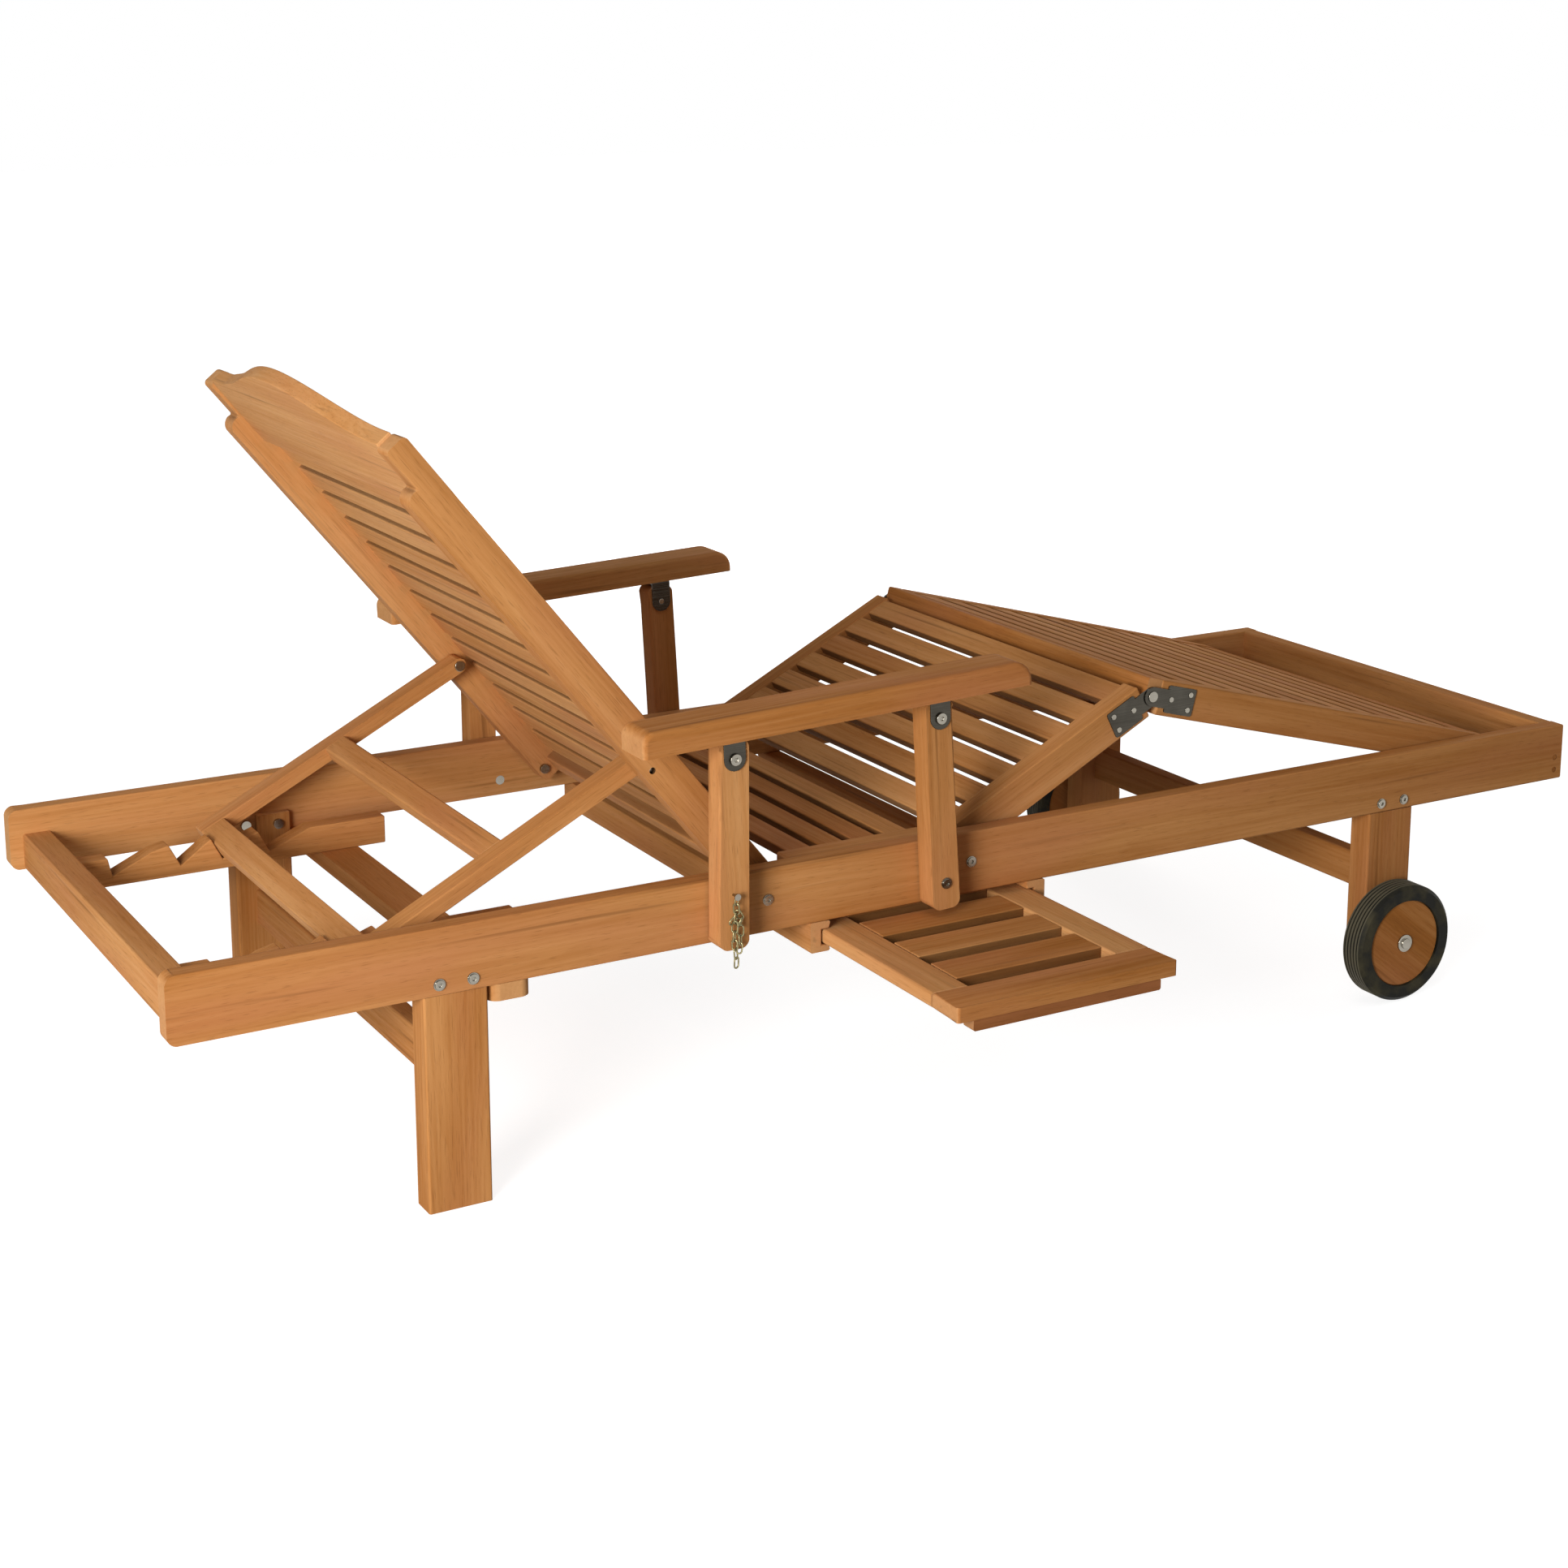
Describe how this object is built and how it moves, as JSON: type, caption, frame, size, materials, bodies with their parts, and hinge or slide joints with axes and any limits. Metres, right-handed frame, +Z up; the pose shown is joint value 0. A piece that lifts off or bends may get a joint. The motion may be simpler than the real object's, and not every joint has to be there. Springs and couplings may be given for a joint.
{
  "type": "sun lounger",
  "caption": "Slatted wooden sun lounger with a notched reclining backrest, raised knee section, sliding side tray, fold-down arms and rear wheels.",
  "frame": {"origin": "Centre of the outline's underside at rest, on the floor, with the tray drawn out.", "axes": "+X from head to foot, +Y from the tray side to the other long side, +Z up."},
  "size_m": [2, 1.04, 0.9108],
  "materials": {
    "oiled_teak": "oiled, satin, straight grain",
    "stainless_steel": "satin, slightly dulled",
    "rubber": "matt ribbed rubber",
    "chain_zinc": "zinc plated"
  },
  "bodies": {
    "frame": {"side_rail_near": "oiled_teak", "side_rail_far": "oiled_teak", "crossbar_plugs": "oiled_teak", "head_crossbar": "oiled_teak", "foot_crossbar": "oiled_teak", "head_leg_near": "oiled_teak", "head_leg_far": "oiled_teak", "foot_leg_near": "oiled_teak", "foot_leg_far": "oiled_teak", "leg_stretchers": "oiled_teak", "leg_bolts": "stainless_steel", "notched_rails": "oiled_teak", "cross_board": "oiled_teak", "seat_bars": "oiled_teak", "seat_slats": "oiled_teak", "foot_ledgers": "oiled_teak", "pivot_bolts": "stainless_steel", "arm_pivot_bolts": "stainless_steel", "axle_bolts": "stainless_steel", "tray_guide_head": "oiled_teak", "tray_guide_foot": "oiled_teak"},
    "backrest": {"back_bars": "oiled_teak", "crest_board": "oiled_teak", "back_slats": "oiled_teak", "back_low_board": "oiled_teak", "prop_bolts": "stainless_steel"},
    "prop": {"prop_arms": "oiled_teak", "prop_mid_bar": "oiled_teak", "prop_end_bar": "oiled_teak"},
    "thigh_section": {"thigh_bars": "oiled_teak", "thigh_slats": "oiled_teak", "thigh_leaves": "stainless_steel", "thigh_screws": "stainless_steel"},
    "foot_section": {"foot_bars": "oiled_teak", "knee_rail": "oiled_teak", "foot_slats": "oiled_teak", "foot_leaves": "stainless_steel", "foot_screws": "stainless_steel", "knee_rivets": "stainless_steel"},
    "tray": {"tray_bars": "oiled_teak", "tray_front_board": "oiled_teak", "tray_slats": "oiled_teak", "tray_grip": "oiled_teak"},
    "wheel_near": {"wheel_disc_near": "oiled_teak", "tyre_near": "rubber"},
    "wheel_far": {"wheel_disc_far": "oiled_teak", "tyre_far": "rubber"},
    "arm_front_near": {"front_post_near": "oiled_teak"},
    "arm_rear_near": {"rear_post_near": "oiled_teak", "chain_screw": "stainless_steel"},
    "arm_top_near": {"armrest_near": "oiled_teak", "arm_brackets_near": "stainless_steel", "arm_bolts_near": "stainless_steel"},
    "arm_front_far": {"front_post_far": "oiled_teak"},
    "arm_rear_far": {"rear_post_far": "oiled_teak"},
    "arm_top_far": {"armrest_far": "oiled_teak", "arm_brackets_far": "stainless_steel", "arm_bolts_far": "stainless_steel"},
    "chain": {"lock_chain": "chain_zinc"}
  },
  "joints": [
    {"name": "backrest_hinge", "type": "hinge", "parent": "frame", "child": "backrest", "pos_m": [-0.283, 0.114, 0.295], "axis": [0, 1, 0], "range_deg": [0, 14]},
    {"name": "prop_hinge", "type": "hinge", "parent": "backrest", "child": "prop", "pos_m": [-0.41675, 0.114, 0.46335], "axis": [0, 1, 0], "range_deg": [-14.1, 0]},
    {"name": "thigh_hinge", "type": "hinge", "parent": "frame", "child": "thigh_section", "pos_m": [0.002, 0.114, 0.295], "axis": [0, -1, 0], "range_deg": [-27, 0]},
    {"name": "knee_hinge", "type": "hinge", "parent": "thigh_section", "child": "foot_section", "pos_m": [0.29458, 0.114, 0.45867], "axis": [0, -1, 0], "range_deg": [0, 42.1]},
    {"name": "tray_slide", "type": "slide", "parent": "frame", "child": "tray", "axis": [0, 1, 0], "range_m": [0, 0.288]},
    {"name": "wheel_near_spin", "type": "hinge", "parent": "frame", "child": "wheel_near", "pos_m": [0.679, -0.257, 0.081], "axis": [0, 1, 0], "continuous": true},
    {"name": "wheel_far_spin", "type": "hinge", "parent": "frame", "child": "wheel_far", "pos_m": [0.679, 0.485, 0.081], "axis": [0, 1, 0], "continuous": true},
    {"name": "arm_front_near_fold", "type": "hinge", "parent": "frame", "child": "arm_front_near", "pos_m": [-0.056, -0.2485, 0.287], "axis": [0, 1, 0], "range_deg": [0, 90]},
    {"name": "arm_rear_near_fold", "type": "hinge", "parent": "frame", "child": "arm_rear_near", "pos_m": [-0.333, -0.2485, 0.276], "axis": [0, 1, 0], "range_deg": [0, 90.1]},
    {"name": "arm_top_near_level", "type": "hinge", "parent": "arm_front_near", "child": "arm_top_near", "pos_m": [-0.068, -0.2485, 0.494], "axis": [0, 1, 0], "range_deg": [-90.1, 0]},
    {"name": "arm_front_far_fold", "type": "hinge", "parent": "frame", "child": "arm_front_far", "pos_m": [-0.056, 0.4765, 0.287], "axis": [0, 1, 0], "range_deg": [0, 90]},
    {"name": "arm_rear_far_fold", "type": "hinge", "parent": "frame", "child": "arm_rear_far", "pos_m": [-0.333, 0.4765, 0.276], "axis": [0, 1, 0], "range_deg": [0, 90.1]},
    {"name": "arm_top_far_level", "type": "hinge", "parent": "arm_front_far", "child": "arm_top_far", "pos_m": [-0.068, 0.4765, 0.494], "axis": [0, 1, 0], "range_deg": [-90.1, 0]},
    {"name": "chain_swing", "type": "hinge", "parent": "arm_rear_near", "child": "chain", "pos_m": [-0.347, -0.2715, 0.322], "axis": [0, 1, 0], "range_deg": [-90.1, 0]}
  ],
  "couplings": [
    {"joint": "prop_hinge", "follows": "backrest_hinge", "ratio": -1},
    {"joint": "knee_hinge", "follows": "thigh_hinge", "ratio": -1.5553},
    {"joint": "arm_rear_near_fold", "follows": "arm_front_near_fold", "ratio": 1},
    {"joint": "arm_top_near_level", "follows": "arm_front_near_fold", "ratio": -1},
    {"joint": "arm_rear_far_fold", "follows": "arm_front_far_fold", "ratio": 1},
    {"joint": "arm_top_far_level", "follows": "arm_front_far_fold", "ratio": -1},
    {"joint": "chain_swing", "follows": "arm_front_near_fold", "ratio": -1}
  ]
}
